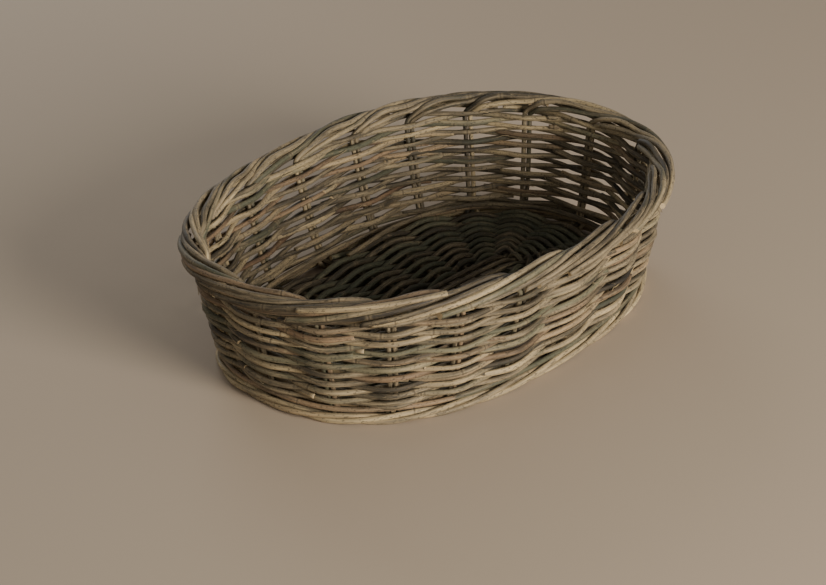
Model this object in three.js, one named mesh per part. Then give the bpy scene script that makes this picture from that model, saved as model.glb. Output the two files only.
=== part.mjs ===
// Oval rattan basket woven from round rods. Millimetres, +Z up.
// Origin: middle of the footprint on the surface it stands on; +X along the long axis.
//
// How it is made: ten base sticks (seven short, three long) cross in the middle of the base.
// Two base weavers spiral outwards over and under the sticks, and two edge rods lie in the
// corner where base and wall meet, inside and outside. Twenty stakes, each one rod bent
// double, hook under the stick ends and stand up as close pairs. Wall weavers pass in front
// of one pair and behind the next, and neighbouring rows alternate. Three foot rods are
// twisted round the bottom edge. Above the weave each pair turns along the rim and rolls
// from the inside, over the top, to the outside, where it ends nearly three pairs further on.
import * as THREE from 'three';

// ---- driving dimensions -------------------------------------------------------------
const HEIGHT = 53;
const PAIRS = 20;

// half axes of the middle surface of the wall, at the floor and at the rim
const FLOOR_A = 86.5;
const FLOOR_B = 57.8;
const RIM_A = 99.7;
const RIM_B = 74.7;
const FLOOR_SQUARENESS = 2.45;      // superellipse exponents: 2 is a true ellipse
const RIM_SQUARENESS = 2.27;
const FLARE_POWER = 0.55;           // the wall leans out most near the floor

// rods
const STAKE_R = 0.95;
const WEAVER_R = 0.95;
const STICK_R = 1.0;
const BASE_WEAVER_R = 0.85;
const FOOT_R = 1.0;
const GAP = 0.3;                    // clearance between rods that touch
const FINE_SIDES = 6;
const PLAIN_SIDES = 5;

// base
const STICK_Z = 3.65;
const BASE_ROUNDS = 18;
const BASE_FIRST_ROUND = 0.3;       // clear space in the middle, in rounds
const BUNDLE_HALF_WIDTH = 4.5;      // side sticks of the long bundle, from its centre line
const SHORT_STICK_INNER_Y = 6.9;
const SHORT_STICK_TAPER = 0.55;     // short sticks fan out from here to the wall
const LONG_STICK_TURN_X = 42.0;     // the long sticks lie on the short ones up to here
const LONG_STICK_INNER_X = 47.5;
const BASE_EDGE_INSET = 4.5;        // last round of base weave, in from the wall
const STICK_OVERHANG = 0.5;         // stick ends, past the middle surface of the wall
const EDGE_ROD_INSET = 2.3;         // edge rods, in or out from the wall
const EDGE_ROD_OUTSIDE_Z = 6.3;

// foot: three rods twisted together
const FOOT_TURNS = 7;
const FOOT_STEPS = 6;               // straight steps in one turn
const FOOT_TWIST_R = 1.53;
const FOOT_OFFSET = 4.0;            // centre of the twist, out from the wall

// wall weave
const ROWS = 19;
const FIRST_ROW_Z = 8.3;
const ROW_PITCH = 2.0;
const SWING_OUT = 2.75;             // how far a weaver stands off the middle surface,
const SWING_IN = 2.35;              // in front of a pair and behind one

// stake pairs
const LEG_HALF_GAP = 1.12;          // half the distance between the two legs
const HOOK_R = STAKE_R + STICK_R + 1.2 * GAP;   // half width of the hook under a stick
const LEGS_MEET_Z = 8.5;
const STAKE_MIDDLE_Z = 24;
const BEND_R = 2.4;                 // bend of the inner leg, at the top of the wall

// rolled border: each pair follows a track up the inside, over the top, down the outside
const BORDER_STEPS = 3;             // straight steps from one pair to the next
const TAIL_STEPS = 8;               // the tail ends after this many
const TRACK_R = 2.1;
const TRACK_OFFSET = 1.6;           // middle of the track, out from the wall
const TRACK_INSIDE = 3.1;           // straight length inside, below the turn
const ROD_SPACING = 2.35;
const TRACK_TOP_Z = HEIGHT - TRACK_R - STAKE_R;

const COLOURS = {
  stake: 0x8d7a55, weaver: 0x7d6e52, base: 0x5d5644, stick: 0x756748, foot: 0xa88a5e,
};

// ---- the oval wall ------------------------------------------------------------------
const lerp = THREE.MathUtils.lerp;
const Z_AXIS = new THREE.Vector3(0, 0, 1);

// Pairs stand a little further apart round the two ends than along the sides.
function ovalAngle(index) {
  const END_SPREAD = 0.075;
  const even = (2 * Math.PI * index) / PAIRS;
  return even + END_SPREAD * Math.sin(2 * even);
}

function onSuperellipse(angle, a, b, squareness) {
  const c = Math.cos(angle);
  const s = Math.sin(angle);
  const power = 2 / squareness;
  return new THREE.Vector3(
    a * Math.sign(c) * Math.abs(c) ** power,
    b * Math.sign(s) * Math.abs(s) ** power,
    0,
  );
}

function onMiddleSurface(index, z) {
  const k = (Math.max(z, 0) / HEIGHT) ** FLARE_POWER;
  const squareness = lerp(FLOOR_SQUARENESS, RIM_SQUARENESS, k);
  const point = onSuperellipse(
    ovalAngle(index), lerp(FLOOR_A, RIM_A, k), lerp(FLOOR_B, RIM_B, k), squareness,
  );
  point.z = z;
  return point;
}

// Horizontal unit vectors at a place on the wall: along it (anticlockwise) and outwards.
function wallDirections(index, z) {
  const STEP = 0.05;
  const along = onMiddleSurface(index + STEP, z).sub(onMiddleSurface(index - STEP, z));
  along.normalize();
  const out = new THREE.Vector3(along.y, -along.x, 0);
  return { along, out };
}

// A point beside the wall: index counts pairs round the oval, then distances along and out.
function wallPoint(index, z, along, out) {
  const directions = wallDirections(index, z);
  return onMiddleSurface(index, z)
    .addScaledVector(directions.along, along)
    .addScaledVector(directions.out, out);
}

// ---- rods ---------------------------------------------------------------------------
// A rod's centre line: straight from point to point, with one section at each point.
class RodPath extends THREE.Curve {
  constructor(points, keepLevel) {
    super();
    this.points = points;
    this.keepLevel = keepLevel;
  }

  getPoint(t, target = new THREE.Vector3()) {
    const last = this.points.length - 1;
    const place = THREE.MathUtils.clamp(t, 0, 1) * last;
    const k = Math.min(Math.floor(place), last - 1);
    return target.lerpVectors(this.points[k], this.points[k + 1], place - k);
  }

  getUtoTmapping(u) {
    return u;
  }

  // A level rod keeps one flat of its section facing straight down.
  computeFrenetFrames(segments, closed) {
    if (!this.keepLevel) return super.computeFrenetFrames(segments, closed);
    const tangents = [];
    const normals = [];
    const binormals = [];
    for (let k = 0; k <= segments; k += 1) {
      const tangent = this.getTangent(k / segments);
      const normal = new THREE.Vector3().crossVectors(tangent, Z_AXIS).normalize();
      tangents.push(tangent);
      normals.push(normal);
      binormals.push(new THREE.Vector3().crossVectors(tangent, normal));
    }
    return { tangents, normals, binormals };
  }
}

// Regular polygon with a flat edge facing -Y, which a level rod turns to face down.
function sectionShape(radius, sides) {
  const corners = [];
  for (let k = 0; k < sides; k += 1) {
    const angle = Math.PI / 2 + (Math.PI * (2 * k + (sides % 2 ? 0 : 1))) / sides;
    corners.push(new THREE.Vector2(radius * Math.cos(angle), radius * Math.sin(angle)));
  }
  return new THREE.Shape(corners);
}

function rodGeometry(points, radius, sides, keepLevel = false) {
  return new THREE.ExtrudeGeometry(sectionShape(radius, sides), {
    steps: points.length - 1,
    extrudePath: new RodPath(points, keepLevel),
    curveSegments: 1,
  });
}

function rattan(colour) {
  return new THREE.MeshStandardMaterial({ color: colour, roughness: 0.75, metalness: 0 });
}

const basket = new THREE.Group();

function addRod(name, colour, geometry) {
  const mesh = new THREE.Mesh(geometry, rattan(colour));
  mesh.name = name;
  basket.add(mesh);
}

function numbered(name, k) {
  return `${name}_${String(k + 1).padStart(2, '0')}`;
}

// ---- base ---------------------------------------------------------------------------
const LONG_ENDS = [0, 1, PAIRS / 2 - 1, PAIRS / 2, PAIRS / 2 + 1, PAIRS - 1];
const isLongEnd = (index) => LONG_ENDS.includes(index % PAIRS);

// Where stick number index meets the wall, and where it leaves the middle of the base.
function stickOuter(index, inset) {
  return wallPoint(index, STICK_Z, 0, -inset);
}

function stickInner(index) {
  const outer = stickOuter(index, 0);
  if (isLongEnd(index)) {
    const side = Math.round(outer.y / 20);
    return new THREE.Vector3(
      Math.sign(outer.x) * LONG_STICK_INNER_X, side * BUNDLE_HALF_WIDTH, STICK_Z,
    );
  }
  return new THREE.Vector3(
    SHORT_STICK_TAPER * outer.x, Math.sign(outer.y) * SHORT_STICK_INNER_Y, STICK_Z,
  );
}

function shortStick(index) {
  const opposite = PAIRS - index;
  return [
    stickOuter(index, -STICK_OVERHANG), stickInner(index),
    stickInner(opposite), stickOuter(opposite, -STICK_OVERHANG),
  ];
}

// The long sticks rest on the short ones in the middle and step down beyond the last.
function longStick(index) {
  const opposite = (PAIRS / 2 - index + PAIRS) % PAIRS;
  const raised = STICK_Z + 2 * STICK_R + GAP;
  const right = stickInner(index);
  const left = stickInner(opposite);
  return [
    stickOuter(index, -STICK_OVERHANG), right,
    new THREE.Vector3(LONG_STICK_TURN_X, right.y, raised),
    new THREE.Vector3(-LONG_STICK_TURN_X, left.y, raised),
    left, stickOuter(opposite, -STICK_OVERHANG),
  ];
}

// Two spirals start on opposite sides of the middle, so at every stick one passes over and
// the other under. Each turn moves out by two rounds.
function baseWeaver(spiral) {
  const points = [];
  const total = (BASE_ROUNDS / 2) * PAIRS;
  const swing = STICK_R + BASE_WEAVER_R + GAP;
  for (let k = 0; k <= total; k += 1) {
    const index = (k + PAIRS / 4 + (spiral * PAIRS) / 2) % PAIRS;
    const f = (BASE_FIRST_ROUND + (2 * k) / PAIRS) / (BASE_FIRST_ROUND + BASE_ROUNDS);
    const point = stickInner(index).lerp(stickOuter(index, BASE_EDGE_INSET), f);
    point.z += swing * ((k + spiral) % 2 ? -1 : 1);
    points.push(point);
  }
  return points;
}

// One rod, once round, in the corner of base and wall: inside the stakes on top of the
// stick ends, or outside them.
function edgeRod(start, z, out) {
  const points = [];
  for (let k = 0; k <= PAIRS; k += 1) {
    const end = k === 0 ? GAP / 2 : k === PAIRS ? -GAP / 2 : 0;
    points.push(wallPoint(k + start, z, end, out));
  }
  return points;
}

function addBase() {
  for (let index = 2; index <= PAIRS / 2 - 2; index += 1) {
    const geometry = rodGeometry(shortStick(index), STICK_R, FINE_SIDES);
    addRod(numbered('base_short_stick', index - 2), COLOURS.stick, geometry);
  }
  [1, 0, PAIRS - 1].forEach((index, k) => {
    const geometry = rodGeometry(longStick(index), STICK_R, FINE_SIDES);
    addRod(numbered('base_long_stick', k), COLOURS.stick, geometry);
  });
  for (let spiral = 0; spiral < 2; spiral += 1) {
    const geometry = rodGeometry(baseWeaver(spiral), BASE_WEAVER_R, PLAIN_SIDES, true);
    addRod(numbered('base_weaver', spiral), COLOURS.base, geometry);
  }
  const insideZ = STICK_Z + STICK_R + WEAVER_R + GAP;
  addRod('edge_rod_inside', COLOURS.foot,
    rodGeometry(edgeRod(8, insideZ, -EDGE_ROD_INSET), WEAVER_R, PLAIN_SIDES, true));
  addRod('edge_rod_outside', COLOURS.foot,
    rodGeometry(edgeRod(13, EDGE_ROD_OUTSIDE_Z, EDGE_ROD_INSET), WEAVER_R, PLAIN_SIDES, true));
}

// ---- foot ---------------------------------------------------------------------------
// The lowest step of each turn is level, and its flat rests on the floor.
function footRod(strand) {
  const flatToCentre = FOOT_R * Math.cos(Math.PI / FINE_SIDES);
  const centreZ = flatToCentre + FOOT_TWIST_R * Math.sin(Math.PI / 3);
  const steps = FOOT_TURNS * FOOT_STEPS;
  const points = [];
  for (let k = 0; k <= steps; k += 1) {
    const turn = 2 * Math.PI * (k / FOOT_STEPS + strand / 3);
    const end = k === 0 ? GAP / 2 : k === steps ? -GAP / 2 : 0;
    const index = (PAIRS * k) / steps;
    const out = FOOT_OFFSET + FOOT_TWIST_R * Math.cos(turn);
    const point = wallPoint(index, centreZ, end, out);
    point.z += FOOT_TWIST_R * Math.sin(turn);
    points.push(point);
  }
  return points;
}

function addFoot() {
  for (let strand = 0; strand < 3; strand += 1) {
    addRod(numbered('foot_rod', strand), COLOURS.foot,
      rodGeometry(footRod(strand), FOOT_R, FINE_SIDES, true));
  }
}

// ---- wall weave ---------------------------------------------------------------------
// Each row is one rod, once round. Its two ends meet at a pair, a new one in each row.
function wallWeaver(row) {
  const z = FIRST_ROW_Z + row * ROW_PITCH;
  const first = (7 * row + 3) % PAIRS;
  const points = [];
  for (let k = 0; k <= PAIRS; k += 1) {
    const index = first + k;
    const out = (index + row) % 2 ? -SWING_IN : SWING_OUT;
    const end = k === 0 ? GAP / 2 : k === PAIRS ? -GAP / 2 : 0;
    points.push(wallPoint(index, z, end, out));
  }
  return points;
}

function addWallWeave() {
  for (let row = 0; row < ROWS; row += 1) {
    addRod(numbered('wall_weaver', row), COLOURS.weaver,
      rodGeometry(wallWeaver(row), WEAVER_R, PLAIN_SIDES, true));
  }
}

// ---- stakes and rolled border -------------------------------------------------------
// A point on the border track: up the inside, round the top, down the outside.
function borderPoint(index, track) {
  const turn = (track - TRACK_INSIDE) / TRACK_R;
  let out = -TRACK_R;
  let z = TRACK_TOP_Z + track - TRACK_INSIDE;
  if (turn > 0 && turn < Math.PI) {
    out = -TRACK_R * Math.cos(turn);
    z = TRACK_TOP_Z + TRACK_R * Math.sin(turn);
  } else if (turn >= Math.PI) {
    out = TRACK_R;
    z = TRACK_TOP_Z - (turn - Math.PI) * TRACK_R;
  }
  return wallPoint(index, z, 0, TRACK_OFFSET + out);
}

// One leg of a pair, from the hook under the stick to its cut end on the border.
// side is +1 for the leg that ends on top in the border and -1 for the lower one.
function stakeLeg(index, side) {
  const shift = (side * ROD_SPACING) / 2;
  const points = [
    wallPoint(index, STICK_Z, side * HOOK_R, 0),
    wallPoint(index, LEGS_MEET_Z, side * LEG_HALF_GAP, 0),
    wallPoint(index, STAKE_MIDDLE_Z, side * LEG_HALF_GAP, 0),
  ];
  const bendR = BEND_R + LEG_HALF_GAP + side * LEG_HALF_GAP;
  const bendTopZ = TRACK_TOP_Z - TRACK_INSIDE + shift;
  for (const turn of [0, Math.PI / 6, Math.PI / 3]) {
    points.push(wallPoint(
      index, bendTopZ - bendR * (1 - Math.sin(turn)),
      side * LEG_HALF_GAP - bendR * (1 - Math.cos(turn)), 0,
    ));
  }
  for (let k = 1; k <= TAIL_STEPS; k += 1) {
    const passed = k / BORDER_STEPS;
    points.push(borderPoint(index - passed, 2 * ROD_SPACING * passed + shift));
  }
  return points;
}

// The hook: half a turn under the end of the base stick, joining the two legs.
function stakeHook(index) {
  return [Math.PI / 4, Math.PI / 2, (3 * Math.PI) / 4].map((turn) => wallPoint(
    index, STICK_Z - HOOK_R * Math.sin(turn), HOOK_R * Math.cos(turn), 0,
  ));
}

function addStakes() {
  for (let index = 0; index < PAIRS; index += 1) {
    const points = [
      ...stakeLeg(index, 1).reverse(), ...stakeHook(index), ...stakeLeg(index, -1),
    ];
    addRod(numbered('stake_pair', index), COLOURS.stake,
      rodGeometry(points, STAKE_R, PLAIN_SIDES));
  }
}

addBase();
addFoot();
addWallWeave();
addStakes();

export default basket;
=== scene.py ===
"""Looks for the oval rattan basket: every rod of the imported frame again, as bent rattan.

The frame has straight, even rods. Here each one is a smooth, slightly uneven length of
rattan with its joints, cut ends and splices, in the place that the frame gives it. Lengths
are in millimetres, and become metres where a mesh is made. On the wall, index counts stake
pairs round the oval (anticlockwise from +X) and z is the height.
"""
import math

import bpy
import numpy as np
from mathutils import Matrix, Vector


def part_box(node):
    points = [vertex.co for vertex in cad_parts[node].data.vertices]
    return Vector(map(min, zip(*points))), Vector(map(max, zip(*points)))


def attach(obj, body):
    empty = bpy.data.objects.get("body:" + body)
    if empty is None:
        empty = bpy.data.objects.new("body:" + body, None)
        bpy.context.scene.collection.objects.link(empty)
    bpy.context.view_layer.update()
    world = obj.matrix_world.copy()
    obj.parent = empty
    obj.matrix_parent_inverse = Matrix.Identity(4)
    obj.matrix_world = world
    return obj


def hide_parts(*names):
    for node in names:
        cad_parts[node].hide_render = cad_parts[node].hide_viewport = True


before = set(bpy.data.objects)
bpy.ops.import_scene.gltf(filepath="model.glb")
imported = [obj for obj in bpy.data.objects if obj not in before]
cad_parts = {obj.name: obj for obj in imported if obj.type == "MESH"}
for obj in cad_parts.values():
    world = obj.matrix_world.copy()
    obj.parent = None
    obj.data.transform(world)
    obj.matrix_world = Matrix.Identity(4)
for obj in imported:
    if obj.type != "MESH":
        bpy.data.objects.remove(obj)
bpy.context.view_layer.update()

MM = 0.001
TAU = 2 * math.pi
SEED = 748

# ---- the frame's own dimensions ------------------------------------------------------
HEIGHT = 53.0
PAIRS = 20
END_SPREAD = 0.075                  # pairs stand further apart round the two ends
FLOOR_A, FLOOR_B = 86.5, 57.8       # half axes of the middle surface of the wall
RIM_A, RIM_B = 99.7, 74.7
FLOOR_SQUARENESS, RIM_SQUARENESS = 2.45, 2.27
FLARE_POWER = 0.55

STICK_Z = 3.65
BASE_ROUNDS = 18
BASE_FIRST_ROUND = 0.3
BUNDLE_HALF_WIDTH = 4.5
SHORT_STICK_INNER_Y = 6.9
SHORT_STICK_TAPER = 0.55
LONG_STICK_TURN_X = 42.0
LONG_STICK_INNER_X = 47.5
BASE_EDGE_INSET = 4.5
STICK_OVERHANG = 0.5
EDGE_ROD_INSET = 2.3
EDGE_ROD_OUTSIDE_Z = 6.3
FOOT_TURNS = 7
FOOT_OFFSET = 4.0
ROWS = 19
LEG_HALF_GAP = 1.12
HOOK_R = 2.31
BEND_R = 2.4

# ---- rattan, as real rods are --------------------------------------------------------
STICK_R = 1.0
BASE_WEAVER_R = 1.16
EDGE_R = 1.02
FOOT_R = 1.05
WEAVER_R = 1.14
LEG_R = 0.97
BORDER_R = 1.1
CLEARANCE = 0.05                    # between rods that cross, before they get uneven

SIDES = 10
RING_STEP = 1.25                    # between sections along a rod
RING_CLOSEST = 0.15
JOINT_APART = (45, 130)             # old leaf joints along a rod, least and most apart
JOINT_WIDTH = 0.55
JOINT_SWELL = 0.07                  # share of the radius
NO_JOINT = 1000.0                   # distance to the nearest joint of a rod without one
UNEVEN = 0.018                      # share of the radius, for each wave along the rod
UNEVEN_SPANS = (9, 17, 41)
TIP_LENGTH = 9.0                    # a thinner end begins this far before the cut
CUT_SLANT = 0.5                     # the most that an end cut slants, in radii
ACROSS_ANY_ROD = (0.3, 0.2, 1.0)    # no rod starts in this direction
PATTERN_LENGTH = 5000               # each rod takes its own stretch of one long pattern

# Shades: lightness, how much it varies, and warmth (0 is grey-green, 1 is red-brown).
# The base and its sticks are drawn darker: partly their own tone, partly painted shade that
# falls on the basket's floor.
STICK_SHADE = (0.26, 0.08, 0.4)
BASE_WEAVER_SHADE = (0.26, 0.07, 0.2)
EDGE_SHADE = (0.5, 0.1, 0.6)
FOOT_SHADE = (0.6, 0.08, 0.5)
WEAVER_SHADE = (0.41, 0.14, 0.5)
SLIVER_SHADE = (0.72, 0.12, 0.5)
STAKE_SHADE = (0.44, 0.12, 0.5)
LAID_IN_SHADE = (0.62, 0.05, 0.7)
WARMTH_SPREAD = 0.22
DARKEST = 0.05

# Random streams, one for each kind of rod.
SHORT_STICKS, LONG_STICKS, BASE_WEAVERS, EDGE_RODS, FOOT_RODS, ROWS_OF_WEAVE, STAKES = (
    10, 11, 20, 25, 30, 40, 50)


# ---- the oval wall -------------------------------------------------------------------
def middle_surface(index, z):
    """Points on the middle surface of the wall."""
    even = TAU * index / PAIRS
    angle = even + END_SPREAD * np.sin(2 * even)
    rise = (np.maximum(z, 0) / HEIGHT) ** FLARE_POWER
    a = FLOOR_A + (RIM_A - FLOOR_A) * rise
    b = FLOOR_B + (RIM_B - FLOOR_B) * rise
    power = 2 / (FLOOR_SQUARENESS + (RIM_SQUARENESS - FLOOR_SQUARENESS) * rise)
    c, s = np.cos(angle), np.sin(angle)
    x = a * np.sign(c) * np.abs(c) ** power
    y = b * np.sign(s) * np.abs(s) ** power
    return np.stack([x, y, z], axis=-1)


def wall_directions(index, z):
    """Level unit vectors along the wall (anticlockwise) and out of it."""
    nearby = 0.05                   # of a bay
    along = middle_surface(index + nearby, z) - middle_surface(index - nearby, z)
    along /= np.linalg.norm(along, axis=-1, keepdims=True)
    out = np.stack([along[..., 1], -along[..., 0], 0 * along[..., 2]], axis=-1)
    return along, out


def rng_for(*numbers):
    """The same random stream each time for the same numbers."""
    return np.random.default_rng([SEED, *numbers])


WAVE_SLANT = 1.2                    # about how far a wave shifts up to the rim, in radians


def smooth_field(number, size, turns):
    """A smooth random number all over the wall, made of a few waves round the oval."""
    rng = rng_for(number)
    phases = rng.uniform(0, TAU, len(turns))
    rises = rng.normal(0, WAVE_SLANT, len(turns))

    def value(index, z):
        total = 0
        for turn, phase, rise in zip(turns, phases, rises):
            total = total + np.cos(TAU * turn * index / PAIRS + phase + rise * z / HEIGHT)
        return size * total / math.sqrt(len(turns))

    return value


lean = smooth_field(1, 0.55, (2, 3, 5, 7, 9))      # pairs stand a little out of line
dent = smooth_field(2, 0.35, (2, 3, 4, 6))         # the wall isn't a perfect oval
sway = smooth_field(3, 0.32, (2, 3, 5, 8))         # rows rise and fall together

RIM_RISES = [                       # the rim isn't level: pair index, and its rise there
    (1, -0.2),
    (4, -1.1),
    (7, -0.7),
    (9.8, -1.3),
    (12.5, 2.2),
    (14.3, 1.2),
    (15.8, -0.5),
    (18, 0.1),
]
RIM_SMOOTHING = (-0.8, -0.4, 0, 0.4, 0.8)


def rim_rise(index):
    """The mean of the rises at a few places round index."""
    places, rises = zip(*RIM_RISES)
    near = [np.interp(index + shift, places, rises, period=PAIRS) for shift in RIM_SMOOTHING]
    return sum(near) / len(near)


def on_wall(index, z, along=0.0, out=0.0):
    """Points beside the wall, uneven in the same way for all the rods that meet there.

    along and out are distances from the middle surface. The unevenness grows with height.
    """
    index, z, along, out = (np.array(v) for v in np.broadcast_arrays(
        np.asarray(index, float), np.asarray(z, float), along, out))
    up = np.clip(z / HEIGHT, 0, 1)
    z = z + up ** 3 * rim_rise(index)
    along_way, out_way = wall_directions(index, z)
    along = along + up * lean(index, z)
    out = out + np.sqrt(up) * dent(index, z)
    return middle_surface(index, z) + along_way * along[..., None] + out_way * out[..., None]


# ---- paths ---------------------------------------------------------------------------
def smooth_path(points, per_span=14):
    """A centripetal Catmull-Rom curve through a row of points, as closer points."""
    points = np.asarray(points, float)
    first = 2 * points[0] - points[1]
    last = 2 * points[-1] - points[-2]
    p = np.vstack([first, points, last])
    knots = np.concatenate([[0], np.cumsum(np.sqrt(np.linalg.norm(np.diff(p, axis=0), axis=1)))])
    path = []
    for k in range(1, len(p) - 2):
        t = np.linspace(knots[k], knots[k + 1], per_span, endpoint=False)[:, None]
        k0, k1, k2, k3 = knots[k - 1:k + 3]
        a1 = ((k1 - t) * p[k - 1] + (t - k0) * p[k]) / (k1 - k0)
        a2 = ((k2 - t) * p[k] + (t - k1) * p[k + 1]) / (k2 - k1)
        a3 = ((k3 - t) * p[k + 1] + (t - k2) * p[k + 2]) / (k3 - k2)
        b1 = ((k2 - t) * a1 + (t - k0) * a2) / (k2 - k0)
        b2 = ((k3 - t) * a2 + (t - k1) * a3) / (k3 - k1)
        path.append(((k2 - t) * b1 + (t - k1) * b2) / (k2 - k1))
    path.append(points[-1:])
    return np.vstack(path)


def arc_length(path):
    """How far along the path each of its points is."""
    steps = np.linalg.norm(np.diff(path, axis=0), axis=1)
    return np.concatenate([[0], np.cumsum(steps)])


def fade(x):
    """0 below x = 0, 1 above x = 1, smooth between."""
    x = np.clip(x, 0, 1)
    return x * x * (3 - 2 * x)


# ---- rods ----------------------------------------------------------------------------
def joint_places(length, rng):
    """Distances along a rod at which it has an old leaf joint."""
    places = []
    place = rng.uniform(0, JOINT_APART[1])
    while place < length:
        places.append(place)
        place += rng.uniform(*JOINT_APART)
    return np.array(places)


def ring_places(length, joints):
    """Even steps along a rod, and closer ones at its joints."""
    even = np.linspace(0, length, max(3, round(length / RING_STEP) + 1))
    near = [joints + shift * JOINT_WIDTH for shift in (-1, 0, 1)]
    places = np.sort(np.concatenate([even, *near]))
    places = places[(places >= 0) & (places <= length)]
    return places[np.concatenate([[True], np.diff(places) > RING_CLOSEST])]


def nearest_joint(places, joints):
    """Signed distance from each place to its nearest joint."""
    if not len(joints):
        return np.full(len(places), NO_JOINT)
    gaps = places[:, None] - joints[None, :]
    return gaps[np.arange(len(places)), np.abs(gaps).argmin(axis=1)]


def untwisted_normals(tangents):
    """A direction across the rod at each section that turns as little as it can."""
    normals = np.empty_like(tangents)
    normal = np.cross(tangents[0], ACROSS_ANY_ROD)
    for k, tangent in enumerate(tangents):
        normal = normal - tangent * normal.dot(tangent)
        normal /= np.linalg.norm(normal)
        normals[k] = normal
    return normals


def rattan_rod(path, radius, shade, rng, tips=(1.0, 1.0), cuts=None):
    """One length of rattan. radius is a number or one for each point of the path.

    shade is (lightness, warmth), tips the thickness at the two ends as shares of the radius,
    and cuts how far the two end cuts slant. The result has a vertex array, the number of
    sections, and two vectors for each vertex that the material reads: rod is the distance
    along the rod and the place across it, tint is the shade and the distance to a joint.
    """
    arc = arc_length(path)
    length = arc[-1]
    joints = joint_places(length, rng)
    places = ring_places(length, joints)
    points = np.stack([np.interp(places, arc, path[:, k]) for k in range(3)], axis=1)
    to_joint = nearest_joint(places, joints)

    waves = sum(np.sin(TAU * places / span + rng.uniform(0, TAU)) for span in UNEVEN_SPANS)
    radii = np.interp(places, arc, np.broadcast_to(radius, arc.shape))
    radii = radii * (1 + UNEVEN * waves)
    radii *= 1 + JOINT_SWELL * np.exp(-(to_joint / JOINT_WIDTH) ** 2)
    radii *= tips[0] + (1 - tips[0]) * fade(places / TIP_LENGTH)
    radii *= tips[1] + (1 - tips[1]) * fade((length - places) / TIP_LENGTH)

    tangents = np.gradient(points, axis=0)
    tangents /= np.linalg.norm(tangents, axis=1, keepdims=True)
    normals = untwisted_normals(tangents)
    binormals = np.cross(tangents, normals)
    turn = TAU * np.arange(SIDES) / SIDES
    ring = (normals[:, None, :] * np.cos(turn)[:, None]
            + binormals[:, None, :] * np.sin(turn)[:, None])
    vertices = points[:, None, :] + radii[:, None, None] * ring
    if cuts is None:
        cuts = rng.uniform(-CUT_SLANT, CUT_SLANT, 2)
    slant = np.cos(turn + rng.uniform(0, TAU))
    for end, cut in ((0, cuts[0]), (-1, cuts[1])):
        vertices[end] += tangents[end] * (cut * radii[end] * slant)[:, None]

    across = radii[:, None, None] * np.stack([np.cos(turn), np.sin(turn)], axis=-1)
    along = (places + rng.uniform(0, PATTERN_LENGTH))[:, None, None]
    along = np.broadcast_to(along, (len(places), SIDES, 1))
    rod = np.concatenate([along, across], axis=-1)
    tint = np.empty_like(vertices)
    tint[..., 0] = shade[0]
    tint[..., 1] = shade[1]
    tint[..., 2] = to_joint[:, None]
    return {"vertices": vertices.reshape(-1, 3), "rings": len(places),
            "rod": rod.reshape(-1, 3), "tint": tint.reshape(-1, 3)}


def rod_faces(first, rings):
    """Quads of one rod whose vertices start at first, and then its two end cuts."""
    k, j = np.meshgrid(np.arange(rings - 1), np.arange(SIDES), indexing="ij")
    here = first + k * SIDES + j
    beside = first + k * SIDES + (j + 1) % SIDES
    quads = np.stack([here, beside, beside + SIDES, here + SIDES], axis=-1).reshape(-1, 4)
    start = first + np.arange(SIDES)[::-1]
    end = first + (rings - 1) * SIDES + np.arange(SIDES)
    return quads.tolist(), [start.tolist(), end.tolist()]


def make_piece(node, rods, slot):
    """One object that stands for a CAD node, made of one or more lengths of rattan."""
    faces, cut_faces, first = [], [], 0
    for rod in rods:
        quads, ends = rod_faces(first, rod["rings"])
        faces += quads
        cut_faces += ends
        first += len(rod["vertices"])
    mesh = bpy.data.meshes.new(node + "_rattan")
    vertices = np.concatenate([rod["vertices"] for rod in rods]) * MM
    mesh.from_pydata(vertices.tolist(), [], faces + cut_faces)
    is_cut = np.arange(len(faces) + len(cut_faces)) >= len(faces)
    mesh.polygons.foreach_set("use_smooth", ~is_cut)
    for name in ("rod", "tint"):
        attribute = mesh.attributes.new(name, "FLOAT_VECTOR", "POINT")
        attribute.data.foreach_set("vector", np.concatenate([rod[name] for rod in rods]).ravel())
    attribute = mesh.attributes.new("cut", "FLOAT", "FACE")
    attribute.data.foreach_set("value", is_cut.astype(float))
    mesh.materials.append(MATERIALS[slot])
    mesh.update()
    piece = bpy.data.objects.new(mesh.name, mesh)
    bpy.context.scene.collection.objects.link(piece)
    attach(piece, "root")
    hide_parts(node)


def shade_of(rng, shade):
    """Lightness and warmth of one rod, drawn round the usual shade of its kind."""
    lightness, spread, warmth = shade
    drawn = rng.normal([lightness, warmth], [spread, WARMTH_SPREAD])
    return np.clip(drawn, [DARKEST, 0.0], 1.0)


# ---- materials -----------------------------------------------------------------------
def srgb(red, green, blue):
    """A linear colour from 0-255 screen values."""
    linear = [((v / 255 + 0.055) / 1.055) ** 2.4 for v in (red, green, blue)]
    return (*linear, 1.0)


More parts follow.
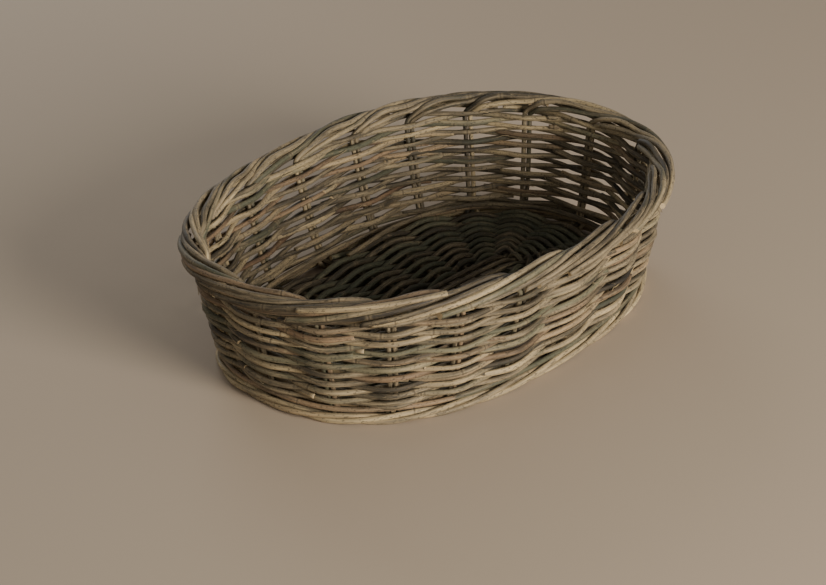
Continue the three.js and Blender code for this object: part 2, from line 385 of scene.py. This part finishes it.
class Nodes:
    """Short helpers for the node tree of one material or world."""

    def __init__(self, owner, shader="Principled BSDF"):
        self.tree = owner.node_tree
        self.shader = self.tree.nodes[shader]

    def add(self, kind, **settings):
        node = self.tree.nodes.new(kind)
        for name, value in settings.items():
            setattr(node, name, value)
        return node

    def link(self, source, target):
        self.tree.links.new(source, target)

    def fill(self, socket, value):
        if isinstance(value, (int, float, tuple)):
            socket.default_value = value
        else:
            self.link(value, socket)

    def math(self, operation, a, b=0.0, clamp=False):
        node = self.add("ShaderNodeMath", operation=operation, use_clamp=clamp)
        self.fill(node.inputs[0], a)
        self.fill(node.inputs[1], b)
        return node.outputs[0]

    def varied(self, value, pattern, amount, clamp=False):
        """value, more or less by up to half of amount where pattern goes from 0 to 1."""
        offset = self.math("MULTIPLY", self.math("SUBTRACT", pattern, 0.5), amount)
        return self.math("ADD", value, offset, clamp=clamp)

    def mix(self, factor, a, b):
        """Two colours mixed: inputs 6 and 7 and output 2 are the node's colour sockets."""
        node = self.add("ShaderNodeMix", data_type="RGBA")
        self.fill(node.inputs[0], factor)
        self.fill(node.inputs[6], a)
        self.fill(node.inputs[7], b)
        return node.outputs[2]

    def attribute(self, name):
        return self.add("ShaderNodeAttribute", attribute_name=name)

    def split(self, vector):
        node = self.add("ShaderNodeSeparateXYZ")
        self.link(vector, node.inputs[0])
        return node.outputs

    def noise(self, vector, along, across, detail, roughness):
        """Noise of 0 to 1, its scale along and across the rod given per millimetre."""
        stretched = self.add("ShaderNodeVectorMath", operation="MULTIPLY")
        self.link(vector, stretched.inputs[0])
        stretched.inputs[1].default_value = (along, across, across)
        node = self.add("ShaderNodeTexNoise")
        self.link(stretched.outputs[0], node.inputs["Vector"])
        node.inputs["Scale"].default_value = 1.0
        node.inputs["Detail"].default_value = detail
        node.inputs["Roughness"].default_value = roughness
        return node.outputs[0]

    def remap(self, value, start, end, at_start=0.0, at_end=1.0):
        """Goes smoothly from at_start to at_end as value goes from start to end."""
        node = self.add("ShaderNodeMapRange", interpolation_type="SMOOTHSTEP")
        self.fill(node.inputs[0], value)
        for socket, number in zip(list(node.inputs)[1:5], (start, end, at_start, at_end)):
            socket.default_value = number
        return node.outputs[0]

    def ramp(self, value, stops):
        node = self.add("ShaderNodeValToRGB")
        elements = node.color_ramp.elements
        while len(elements) < len(stops):
            elements.new(0.5)
        for element, (place, colour) in zip(elements, stops):
            element.position = place
            element.color = colour
        self.fill(node.inputs[0], value)
        return node.outputs[0]


BARK_DARK = srgb(30, 25, 17)
BARK_PALE = srgb(157, 137, 101)
BARK = [                            # lightness, and its colour
    (0.00, BARK_DARK),
    (0.25, srgb(70, 60, 43)),
    (0.50, srgb(122, 107, 81)),
    (0.75, BARK_PALE),
    (1.00, srgb(196, 173, 131)),
]
GREY_GREEN = srgb(90, 92, 68)
RED_BROWN = srgb(128, 90, 60)
JOINT_DARK = srgb(48, 36, 26)
CUT_PALE = srgb(184, 160, 120)
CUT_PORES = srgb(84, 65, 44)

# Patterns: scale along and across the rod per millimetre, detail, roughness.
PATCHES = (0.055, 0.45, 4.0, 0.55)
STREAKS = (0.07, 1.9, 3.0, 0.6)
FIBRES = (0.22, 7.0, 2.0, 0.6)
FLAKES = (0.35, 1.1, 5.0, 0.7)
SPECKS = (0.9, 1.5, 2.0, 0.5)
PORES = (0.0, 6.0, 1.0, 0.55)

# How strongly the patterns change a rod's lightness and warmth.
TONE_OF_PATCHES, TONE_OF_STREAKS, TONE_OF_FIBRES = 0.9, 0.75, 0.22
WARMTH_OF_PATCHES = 0.9

# Where each effect begins to show and where it shows fully.
COLD, WARM = (0.42, 0.0), (0.66, 1.1)
PEELED, GRIMY_AND_SHADED = (0.60, 0.66), (0.44, 0.35)
SPECKLED, POROUS = (0.58, 0.66), (0.58, 0.66)
GROOVE, COLLAR = (0.5, 0.18), (1.7, 0.6)    # distances from a joint

ROUGHNESS = (0.62, 0.85)            # least and most
SPECULAR = 0.38
BUMP_STRENGTH = 0.8
BUMP_HEIGHT = 0.16

FINISHES = {                        # slot: how dark its grime patches get (on the base and sticks also painted shade of the floor), and how much smoother than bare bark
    "stake_rattan": (0.05, 0.06),
    "weaver_rattan": (0.10, 0.0),
    # the base and its sticks go darker: partly grime, partly painted shade of the basket's floor
    "base_rattan": (0.30, 0.0),
    "stick_rattan": (0.25, 0.0),
    "foot_rattan": (0.05, 0.03),
}


def rattan_material(slot, dirt_and_shade, gloss):
    """Unpeeled rattan. Streaks run along each rod, because the patterns are laid in the
    rod's own straightened space. The first finish number darkens it in patches: grime on every
    rod, and on the base and its sticks also painted shade of the basket's floor. gloss lowers
    its roughness."""
    material = bpy.data.materials.new(slot)
    material.use_nodes = True
    n = Nodes(material)
    rod = n.attribute("rod").outputs["Vector"]
    lightness, warmth, to_joint = n.split(n.attribute("tint").outputs["Vector"])

    patches = n.noise(rod, *PATCHES)
    streaks = n.noise(rod, *STREAKS)
    fibres = n.noise(rod, *FIBRES)
    flakes = n.noise(rod, *FLAKES)

    tone = n.varied(lightness, patches, TONE_OF_PATCHES)
    tone = n.varied(tone, streaks, TONE_OF_STREAKS)
    tone = n.varied(tone, fibres, TONE_OF_FIBRES, clamp=True)
    colour = n.ramp(tone, BARK)

    warmth = n.varied(warmth, patches, WARMTH_OF_PATCHES)
    colour = n.mix(n.remap(warmth, *COLD, at_end=0.5), colour, GREY_GREEN)
    colour = n.mix(n.remap(warmth, *WARM, at_end=0.4), colour, RED_BROWN)

    peeled = n.remap(flakes, *PEELED)
    colour = n.mix(n.math("MULTIPLY", peeled, 0.45), colour, BARK_PALE)
    specks = n.remap(n.noise(rod, *SPECKS), *SPECKLED, at_end=0.6)
    colour = n.mix(specks, colour, BARK_DARK)
    # patches of grime on every rod, darker on the base and sticks, where they also paint the
    # floor's shade
    grime_and_shade = n.remap(flakes, *GRIMY_AND_SHADED, at_end=0.35 + dirt_and_shade)
    colour = n.mix(grime_and_shade, colour, BARK_DARK)

    from_joint = n.math("ABSOLUTE", to_joint)
    groove = n.remap(from_joint, *GROOVE)
    collar = n.math("MULTIPLY", n.remap(from_joint, *COLLAR), 0.2)
    colour = n.mix(collar, colour, BARK_PALE)
    colour = n.mix(n.math("MULTIPLY", groove, 0.5), colour, JOINT_DARK)

    pores = n.remap(n.noise(rod, *PORES), *POROUS)
    end_grain = n.mix(pores, CUT_PALE, CUT_PORES)
    colour = n.mix(n.attribute("cut").outputs["Fac"], colour, end_grain)
    n.link(colour, n.shader.inputs["Base Color"])

    roughness = n.remap(streaks, 0.2, 0.8, ROUGHNESS[0] - gloss, ROUGHNESS[1] - gloss)
    roughness = n.math("ADD", roughness, n.math("MULTIPLY", peeled, 0.1), clamp=True)
    n.link(roughness, n.shader.inputs["Roughness"])
    n.shader.inputs["Specular IOR Level"].default_value = SPECULAR

    relief = n.math("ADD", n.math("MULTIPLY", streaks, 0.8), n.math("MULTIPLY", fibres, 0.5))
    relief = n.math("SUBTRACT", relief, n.math("MULTIPLY", peeled, 0.35))
    relief = n.math("SUBTRACT", relief, groove)
    bump = n.add("ShaderNodeBump")
    bump.inputs["Strength"].default_value = BUMP_STRENGTH
    bump.inputs["Distance"].default_value = BUMP_HEIGHT * MM
    n.link(relief, bump.inputs["Height"])
    n.link(bump.outputs[0], n.shader.inputs["Normal"])
    return material


MATERIALS = {slot: rattan_material(slot, *finish) for slot, finish in FINISHES.items()}


# ---- base ----------------------------------------------------------------------------
LONG_STICK_ENDS_APART = 26          # about, at the wall
LONG_STICKS_RAISED = 0.1            # further than the thickness of the short sticks
BASE_WEAVER_UNEVEN = (0.93, 1.08)   # thickness of single lengths as shares of the usual one
BASE_WEAVER_STOPS = (0, 34, 57, 80, 103, 125, 147, 164)    # crossings where a length begins
BASE_WEAVER_LAP = 4                 # points of the path that a length runs on past its stop
BASE_WEAVER_DIP = 0.4               # a new length begins this far below the old one's line
STEPS_PER_CROSSING = 12             # points of the path


def on_base(index, inset):
    """Where stick number index meets the wall, less inset."""
    return on_wall(index, STICK_Z, out=-inset)


def stick_inner(index):
    """Where stick number index leaves the middle of the base."""
    index = index % PAIRS
    outer = middle_surface(np.float64(index), STICK_Z)
    if index in (0, 1, PAIRS // 2 - 1, PAIRS // 2, PAIRS // 2 + 1, PAIRS - 1):
        side = round(outer[1] / LONG_STICK_ENDS_APART)
        return np.array([math.copysign(LONG_STICK_INNER_X, outer[0]),
                         side * BUNDLE_HALF_WIDTH, STICK_Z])
    return np.array([SHORT_STICK_TAPER * outer[0],
                     math.copysign(SHORT_STICK_INNER_Y, outer[1]), STICK_Z])


def add_base_sticks():
    """Short ones across the base, and long ones that lie on them in the middle."""
    for number, index in enumerate(range(2, PAIRS // 2 - 1), 1):
        rng = rng_for(SHORT_STICKS, number)
        opposite = PAIRS - index
        ends = on_base(index, -STICK_OVERHANG), on_base(opposite, -STICK_OVERHANG)
        path = smooth_path([ends[0], stick_inner(index), stick_inner(opposite), ends[1]])
        rod = rattan_rod(path, STICK_R, shade_of(rng, STICK_SHADE), rng)
        make_piece(f"base_short_stick_{number:02d}", [rod], "stick_rattan")
    raised = STICK_Z + 2 * STICK_R + LONG_STICKS_RAISED
    for number, index in enumerate((1, 0, PAIRS - 1), 1):
        rng = rng_for(LONG_STICKS, number)
        opposite = (PAIRS // 2 - index) % PAIRS
        right, left = stick_inner(index), stick_inner(opposite)
        path = smooth_path([
            on_base(index, -STICK_OVERHANG), right,
            [LONG_STICK_TURN_X, right[1], raised], [-LONG_STICK_TURN_X, left[1], raised],
            left, on_base(opposite, -STICK_OVERHANG),
        ])
        rod = rattan_rod(path, STICK_R, shade_of(rng, STICK_SHADE), rng)
        make_piece(f"base_long_stick_{number:02d}", [rod], "stick_rattan")


def base_weaver_point(spiral, step):
    """Where a base weaver crosses a stick, over one and under the next."""
    index = (step + PAIRS // 4 + spiral * PAIRS // 2) % PAIRS
    rounds = BASE_FIRST_ROUND + 2 * step / PAIRS
    share = rounds / (BASE_FIRST_ROUND + BASE_ROUNDS)
    point = stick_inner(index) * (1 - share) + on_base(index, BASE_EDGE_INSET) * share
    swing = STICK_R + BASE_WEAVER_R + CLEARANCE
    point[2] += -swing if (step + spiral) % 2 else swing
    return point


def add_base_weavers():
    """Each spiral is several lengths of rattan, one laid in where the last one stops."""
    last = BASE_ROUNDS * PAIRS // 2
    for spiral in range(2):
        rng = rng_for(BASE_WEAVERS, spiral)
        crossings = [base_weaver_point(spiral, step) for step in range(last + 1)]
        route = smooth_path(crossings, STEPS_PER_CROSSING)
        stops = [*BASE_WEAVER_STOPS, last]
        rods = []
        for start, stop in zip(stops, stops[1:]):
            end = STEPS_PER_CROSSING * stop + (BASE_WEAVER_LAP if stop < last else 0)
            path = route[STEPS_PER_CROSSING * start:end + 1].copy()
            crossed = np.arange(len(path)) / STEPS_PER_CROSSING
            path[:, 2] -= BASE_WEAVER_DIP * (1 - fade(crossed))
            radius = BASE_WEAVER_R * rng.uniform(*BASE_WEAVER_UNEVEN)
            rods.append(rattan_rod(path, radius, shade_of(rng, BASE_WEAVER_SHADE), rng,
                                   tips=(0.85, 0.85)))
        make_piece(f"base_weaver_{spiral + 1:02d}", rods, "base_rattan")


# ---- corner of base and wall ---------------------------------------------------------
STEPS_PER_BAY = 30                  # points on an edge or foot rod from one pair to the next
EDGE_LAP = 0.12                     # bays that a length runs on past its two ends
EDGE_WAVE = 0.25                    # up at one stick end, down at the next
INSIDE_STOPS = (8, 13.3, 18.2, 28)
UPPER_INSIDE_STOPS = (4.8, 11.6, 18.9, 24.8)
OUTSIDE_STOPS = (13, 19.6, 26.1, 33)
EDGE_ABOVE_STICKS = 0.25
UPPER_STEP = 1.7                    # the second inside round is this much higher and further in
STRAY_END = 9.5                     # the end of one length lies about this far in on the base
STRAY_LIFT = 0.5
STRAY_FROM, STRAY_OVER = 2.2, 2.6   # it leaves this many bays before its stop, over this many


def edge_round(z, out, stops, rng, strays=(0, 0, 0)):
    """A rod once round the corner of base and wall, made of several lengths. strays are
    how far the last bays of each length wander off across the base."""
    rods = []
    for start, stop, stray in zip(stops, stops[1:], strays):
        steps = round((stop - start) * STEPS_PER_BAY)
        index = np.linspace(start - EDGE_LAP, stop + EDGE_LAP, steps)
        height = z + EDGE_WAVE * np.cos(math.pi * index)
        wander = fade((index - stop + STRAY_FROM) / STRAY_OVER)
        lift = STRAY_LIFT * wander * (stray > 0)
        path = on_wall(index, height + lift, out=out - stray * wander)
        rods.append(rattan_rod(path, EDGE_R, shade_of(rng, EDGE_SHADE), rng, tips=(0.8, 0.8)))
    return rods


def add_edge_rods():
    """Inside the wall a second round lies on the first one and hides the stake hooks."""
    z = STICK_Z + STICK_R + EDGE_R + EDGE_ABOVE_STICKS
    inside = edge_round(z, -EDGE_ROD_INSET, INSIDE_STOPS, rng_for(EDGE_RODS, 0))
    inside += edge_round(z + UPPER_STEP, -EDGE_ROD_INSET - UPPER_STEP, UPPER_INSIDE_STOPS,
                         rng_for(EDGE_RODS, 1), strays=(0, 0, STRAY_END))
    make_piece("edge_rod_inside", inside, "foot_rattan")
    outside = edge_round(EDGE_ROD_OUTSIDE_Z, EDGE_ROD_INSET, OUTSIDE_STOPS,
                         rng_for(EDGE_RODS, 2))
    make_piece("edge_rod_outside", outside, "foot_rattan")


# ---- foot ----------------------------------------------------------------------------
FOOT_STRANDS = 3
FOOT_TWIST_R = 1.2
FOOT_LIFT = 0.1                     # keeps the thicker places of the rods off the floor
FOOT_STAGGER = 3.1                  # bays from the joins of one strand to those of the next
FOOT_STOPS = (0, 9.4, PAIRS)
FOOT_LAP = 0.3                      # bays that a length runs on past its two ends
FOOT_PARTED = 0.2                   # lengths that lap lie this far to either side


def add_foot():
    """Three strands twisted together, each one of two overlapping lengths."""
    centre_z = FOOT_R + FOOT_TWIST_R + FOOT_LIFT
    for strand in range(FOOT_STRANDS):
        rng = rng_for(FOOT_RODS, strand)
        stops = [strand * FOOT_STAGGER + stop for stop in FOOT_STOPS]
        rods = []
        for start, stop in zip(stops, stops[1:]):
            first, last = start - FOOT_LAP, stop + FOOT_LAP
            index = np.linspace(first, last, round((stop - start) * STEPS_PER_BAY))
            turn = TAU * (FOOT_TURNS * index / PAIRS + strand / FOOT_STRANDS)
            parted = (fade(1 - (index - start + FOOT_LAP) / (2 * FOOT_LAP))
                      - fade(1 - (last - index) / (2 * FOOT_LAP)))
            out = FOOT_OFFSET + FOOT_TWIST_R * np.cos(turn) - FOOT_PARTED * parted
            path = on_wall(index, centre_z, out=out)
            path[:, 2] += FOOT_TWIST_R * np.sin(turn)
            rods.append(rattan_rod(path, FOOT_R, shade_of(rng, FOOT_SHADE), rng,
                                   tips=(0.75, 0.75)))
        make_piece(f"foot_rod_{strand + 1:02d}", rods, "foot_rattan")


# ---- wall weave ----------------------------------------------------------------------
WEAVER_STEPS = 34                   # points on a weaver from one pair to the next
WEAVER_UNEVEN = (0.8, 1.1)          # thickness of single lengths as shares of the usual one
WEAVER_LAPS = (0.3, 0.8)            # bays that a length runs on past the pairs at its ends
LENGTHS_LEAST, LENGTHS_MOST = 4, 5  # in one round
LENGTHS_UNEVEN = 0.3                # share of a usual length by which the stops move
ROW_START, ROW_SHIFT = 3, 7         # pair where the lowest row begins, and pairs on for each row
TOP_ROUND_RISE = 2.1
OUTSIDE_SLACK = 0.3                 # a weaver stands off a pair a little more outside
SEAT_SPREAD, SEAT_MOST = 0.34, 0.7  # how much a weaver sits high or low at a pair
BOW_MOST = 0.55                     # and stands off it
PEAKED = 0.05                       # share of a third wave, which makes the crossings peaked
WOBBLE = 0.2
WOBBLE_BAYS = (2.5, 6)
LAP_PARTED = 0.85                   # lengths that lap lie this far above and below the row
END_STANDS_OFF = 0.5                # a length's last end stands off the weave by this

SLIVERS_PER_ROW = 4
SLIVER_R = (0.13, 0.26)
SLIVER_NEAR_PAIR = 0.3              # it begins within this many bays of a pair
SLIVER_BAYS = (0.15, 0.42)          # length
SLIVER_LIFT = (0.3, 2.2)            # how far its loose end stands off
SLIVER_OUT = 2.1 + WEAVER_R         # the outer face of a weaver at a pair
SLIVER_UNEVEN = 0.35


def row_height(row):
    """The height of a row in the frame."""
    low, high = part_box(f"wall_weaver_{row + 1:02d}")
    return (low.z + high.z) / 2 / MM


def weaver_path(row, z, start, stop, laps, radius, rng):
    """In front of one pair and behind the next, close against the legs.

    laps are how far the rod runs beside the one before it and the one after it. At each
    pair the rod sits a little high or low, and stands off the legs a little.
    """
    first, last = start - laps[0], stop + laps[1]
    index = np.linspace(first, last, round((last - first) * WEAVER_STEPS))
    phase = math.pi * (index + row)
    at_pair = np.cos(phase) ** 2
    pair = np.rint(index).astype(int) - math.floor(first)
    seat = np.clip(rng.normal(0, SEAT_SPREAD, pair.max() + 1), -SEAT_MOST, SEAT_MOST)
    bow = rng.uniform(0, BOW_MOST, pair.max() + 1)
    swing = LEG_R + radius + CLEARANCE
    swing = swing + OUTSIDE_SLACK * (np.cos(phase) > 0)
    out = swing * ((1 - PEAKED) * np.cos(phase) + PEAKED * np.cos(3 * phase))
    out += np.sign(np.cos(phase)) * bow[pair] * at_pair
    wobble = WOBBLE * np.sin(TAU * index / rng.uniform(*WOBBLE_BAYS) + rng.uniform(0, TAU))
    height = z + sway(index, z) + wobble + seat[pair] * at_pair
    parted_start = 1 - fade((index - first) / (2 * laps[0]))
    parted_stop = 1 - fade((last - index) / (2 * laps[1]))
    height += LAP_PARTED * (parted_stop - parted_start)
    out += np.sign(np.cos(phase)) * END_STANDS_OFF * parted_stop ** 2
    return on_wall(index, height, out=out)


def sliver(index, z, side, rng):
    """A thin strip of bark, split off a weaver and standing away from it."""
    direction = rng.choice([-1, 1])
    length = rng.uniform(*SLIVER_BAYS)
    lift = rng.uniform(*SLIVER_LIFT)
    points = []
    for share in (0, 0.35, 0.7, 1.0):
        points.append(on_wall(index + direction * length * share,
                              z + rng.normal(0, SLIVER_UNEVEN),
                              out=side * (SLIVER_OUT + lift * share ** 2)))
    return rattan_rod(smooth_path(points, 6), rng.uniform(*SLIVER_R),
                      shade_of(rng, SLIVER_SHADE), rng, tips=(1.0, 0.25))


def weaver_round(row, z, rng):
    """The four or five lengths of one round, and the slivers on them."""
    first = (ROW_SHIFT * row + ROW_START) % PAIRS
    count = int(rng.integers(LENGTHS_LEAST, LENGTHS_MOST + 1))
    moved = rng.uniform(-LENGTHS_UNEVEN, LENGTHS_UNEVEN)
    inner_stops = np.rint(first + PAIRS * (np.arange(1, count) + moved) / count)
    stops = [first, *inner_stops, first + PAIRS]
    rods = []
    for start, stop in zip(stops, stops[1:]):
        radius = WEAVER_R * rng.uniform(*WEAVER_UNEVEN)
        path = weaver_path(row, z, start, stop, rng.uniform(*WEAVER_LAPS, 2), radius, rng)
        rods.append(rattan_rod(path, radius, shade_of(rng, WEAVER_SHADE), rng,
                               tips=(0.72, 0.8)))
    for _ in range(SLIVERS_PER_ROW):
        index = rng.integers(0, PAIRS) + rng.uniform(-SLIVER_NEAR_PAIR, SLIVER_NEAR_PAIR)
        side = 1 if math.cos(math.pi * (index + row)) > 0 else -1
        rods.append(sliver(index, z, side, rng))
    return rods


def add_wall_weave():
    """The top row has a second round tight under the border."""
    for row in range(ROWS):
        rng = rng_for(ROWS_OF_WEAVE, row)
        z = row_height(row)
        rods = weaver_round(row, z, rng)
        if row == ROWS - 1:
            rods += weaver_round(row + 1, z + TOP_ROUND_RISE, rng)
        make_piece(f"wall_weaver_{row + 1:02d}", rods, "weaver_rattan")


# ---- stakes and rolled border --------------------------------------------------------
LEG_HEIGHTS = (6, 16, 24, 33, 41)   # the legs of a pair stand side by side from the first up
THICKER_FROM, THICKER_OVER = 43, 7  # a leg thickens to a border rod here, and over this height
UPPER_SPAN = (2.7, 3.5)             # bays that the two rods of a pair run in the border
LOWER_SPAN = (3.1, 3.7)
BORDER_LIFT = (-0.2, 0.5)           # how much further out from the border's middle a rod lies
BORDER_UNEVEN = (0.88, 1.14)        # thickness of single rods as shares of the usual one
BORDER_CUT_SLANT = 0.9
BORDER_MIDDLE = (0.9, 50.0)         # out from the wall, and height
BORDER_TURN = [                     # bays passed, angle from the inside over the top, distance
    (0.0, -55, 3.3),
    (0.25, 4, 4.3),
    (0.5, 25, 4.8),
    (0.75, 32, 4.0),
    (1.0, 36, 2.7),
    (1.5, 106, 2.6),
    (2.0, 152, 3.2),
    (2.5, 184, 3.6),
    (3.0, 211, 4.5),
    (3.7, 234, 5.7),
]
CLOSED, OPEN = 1.0, 0.6             # half gap in a pair, and how far it opens in the first bay
BEND_TOP_Z = 47.3
BEND_LEAN = 1.2                     # the top of the bend is this far inside the wall
BORDER_STEPS = 8                    # points on the border from one pair to the next
BEND_STEPS = 2                      # the bend takes the place of this many of them
LAID_IN = (12.75, 10.8)             # a short length laid over the border, from pair to pair
LAID_IN_TURN = (112, 156)           # its angles round the border there
LAID_IN_DISTANCE = 4.6
LAID_IN_STEPS = 24
LAID_IN_UNEVEN = (0.95, 1.12)


def round_border(index, angle, distance):
    """A point at an angle round the middle of the border: 0 is inside, 90 on top."""
    angle = np.radians(angle)
    return on_wall(index, BORDER_MIDDLE[1] + distance * np.sin(angle),
                   out=BORDER_MIDDLE[0] - distance * np.cos(angle))


def border_point(index, passed, side, lift):
    """Inside the rim for one bay, over the top and down the outside. passed is how many
    bays the rod has come, side +1 the upper rod of its pair and -1 the lower one."""
    bays, angles, distances = zip(*BORDER_TURN)
    angle = np.interp(passed, bays, angles)
    distance = np.interp(passed, bays, distances) + lift * fade(passed / 2)
    half_gap = CLOSED + OPEN * math.sin(math.pi * min(passed, 1)) ** 2
    return round_border(index - passed, angle + side * np.degrees(half_gap / distance), distance)


def relaxed(points, rounds):
    """The points drawn towards straight runs, as stiff rods lie. The ends stay."""
    points = np.array(points)
    for _ in range(rounds):
        points[1:-1] = (points[:-2] + 2 * points[1:-1] + points[2:]) / 4
    return points


def stake_leg(index, side, span, lift):
    """One leg of a pair from its hook to its cut end; side +1 ends on top in the border."""
    bend_r = BEND_R + LEG_HALF_GAP + side * LEG_HALF_GAP
    bend_top = BEND_TOP_Z + side * CLOSED
    points = [on_wall(index, STICK_Z, along=side * HOOK_R)]
    points += [on_wall(index, z, along=side * LEG_HALF_GAP) for z in LEG_HEIGHTS]
    for turn in (0, math.pi / 6, math.pi / 3):
        points.append(on_wall(index, bend_top - bend_r * (1 - math.sin(turn)),
                              along=side * LEG_HALF_GAP - bend_r * (1 - math.cos(turn)),
                              out=-BEND_LEAN * math.sin(turn) ** 2))
    steps = round(span * BORDER_STEPS)
    border = [border_point(index, step / BORDER_STEPS, side, lift)
              for step in range(BEND_STEPS, steps + 1)]
    return points + list(relaxed(border, 1))


def laid_in_length(rng):
    """A short length of rattan laid over the border."""
    index = np.linspace(*LAID_IN, LAID_IN_STEPS)
    path = round_border(index, np.linspace(*LAID_IN_TURN, LAID_IN_STEPS), LAID_IN_DISTANCE)
    return rattan_rod(relaxed(path, 6), BORDER_R * rng.uniform(*LAID_IN_UNEVEN),
                      shade_of(rng, LAID_IN_SHADE), rng, tips=(1.0, 0.85))


def add_stakes():
    """Each pair as two lengths that meet under the end of the base stick."""
    for index in range(PAIRS):
        rng = rng_for(STAKES, index)
        hook = [on_wall(index, STICK_Z - HOOK_R * math.sin(turn), along=HOOK_R * math.cos(turn))
                for turn in (math.pi / 4, math.pi / 2, 3 * math.pi / 4)]
        upper = stake_leg(index, 1, rng.uniform(*UPPER_SPAN), rng.uniform(*BORDER_LIFT))
        lower = stake_leg(index, -1, rng.uniform(*LOWER_SPAN), rng.uniform(*BORDER_LIFT))
        rods = []
        for points in (hook[1::-1] + upper, hook[1:] + lower):
            path = smooth_path(points)
            thick = fade((path[:, 2] - THICKER_FROM) / THICKER_OVER)
            border_r = BORDER_R * rng.uniform(*BORDER_UNEVEN)
            radius = LEG_R + (border_r - LEG_R) * thick
            shade = shade_of(rng, STAKE_SHADE)
            cuts = rng.uniform(-BORDER_CUT_SLANT, BORDER_CUT_SLANT, 2)
            rods.append(rattan_rod(path, radius, shade, rng, tips=(1.0, 0.95), cuts=cuts))
        if index == int(LAID_IN[1]):        # it belongs to the pair that it ends at
            rods.append(laid_in_length(rng))
        make_piece(f"stake_pair_{index + 1:02d}", rods, "stake_rattan")


# ---- floor, light and camera ---------------------------------------------------------
CAMERA_PLACE = (-660.6, -607.5, 482.4)
CAMERA_AIM = (-30.1, -16.3, HEIGHT / 2)
CAMERA_ROLL = math.radians(2.4)
CAMERA_LENS, CAMERA_SENSOR = 112.3, 36
FLOOR_HALF_SIZE = 6000
FLOOR_COLOUR = srgb(176, 157, 134)
LIGHTS_AIM = (0, 0, 30)
LIGHTS = [                          # name, place, size, watts, colour
    ("key", (-120, -1230, 375), 560, 27, (1.0, 0.97, 0.93)),
    ("back", (560, 1080, 460), 700, 4, (1.0, 0.99, 0.97)),
]
SKY_LOW, SKY_HIGH = 0.72, 0.2       # soft light all round, stronger from the sides
SKY_HIGH_FROM = 0.85                # how steep the direction is that counts as high: 1 is up
SKY_COLOUR = (0.93, 0.94, 0.94, 1)


def turned_towards(place, aim, roll=0.0):
    """A matrix at place that looks at aim, turned clockwise by roll."""
    place, aim = Vector(place) * MM, Vector(aim) * MM
    turn = (aim - place).to_track_quat("-Z", "Y").to_matrix().to_4x4()
    return Matrix.Translation(place) @ turn @ Matrix.Rotation(-roll, 4, "Z")


def add_floor():
    size = FLOOR_HALF_SIZE * MM
    mesh = bpy.data.meshes.new("floor")
    corners = [(-size, -size, 0), (size, -size, 0), (size, size, 0), (-size, size, 0)]
    mesh.from_pydata(corners, [], [(0, 1, 2, 3)])
    material = bpy.data.materials.new("pale_floor")
    material.use_nodes = True
    n = Nodes(material)
    n.shader.inputs["Base Color"].default_value = FLOOR_COLOUR
    n.shader.inputs["Roughness"].default_value = 0.7
    n.shader.inputs["Specular IOR Level"].default_value = 0.3
    mesh.materials.append(material)
    floor = bpy.data.objects.new("floor", mesh)
    bpy.context.scene.collection.objects.link(floor)


def add_light(name, place, size, watts, colour):
    light = bpy.data.lights.new(name, "AREA")
    light.shape = "DISK"
    light.size = size * MM
    light.energy = watts
    light.color = colour
    lamp = bpy.data.objects.new(name, light)
    lamp.matrix_world = turned_towards(place, LIGHTS_AIM)
    bpy.context.scene.collection.objects.link(lamp)


def add_studio():
    for light in LIGHTS:
        add_light(*light)
    world = bpy.data.worlds.new("studio")
    world.use_nodes = True
    n = Nodes(world, "Background")
    height = n.split(n.add("ShaderNodeTexCoord").outputs["Generated"])[2]
    strength = n.remap(height, 0.0, SKY_HIGH_FROM, SKY_LOW, SKY_HIGH)
    n.link(strength, n.shader.inputs["Strength"])
    n.shader.inputs["Color"].default_value = SKY_COLOUR
    bpy.context.scene.world = world


def add_camera():
    data = bpy.data.cameras.new("camera")
    data.lens = CAMERA_LENS
    data.sensor_width = CAMERA_SENSOR
    camera = bpy.data.objects.new("camera", data)
    camera.matrix_world = turned_towards(CAMERA_PLACE, CAMERA_AIM, CAMERA_ROLL)
    bpy.context.scene.collection.objects.link(camera)
    bpy.context.scene.camera = camera


add_camera()
add_studio()
add_floor()
add_base_sticks()
add_base_weavers()
add_edge_rods()
add_foot()
add_wall_weave()
add_stakes()
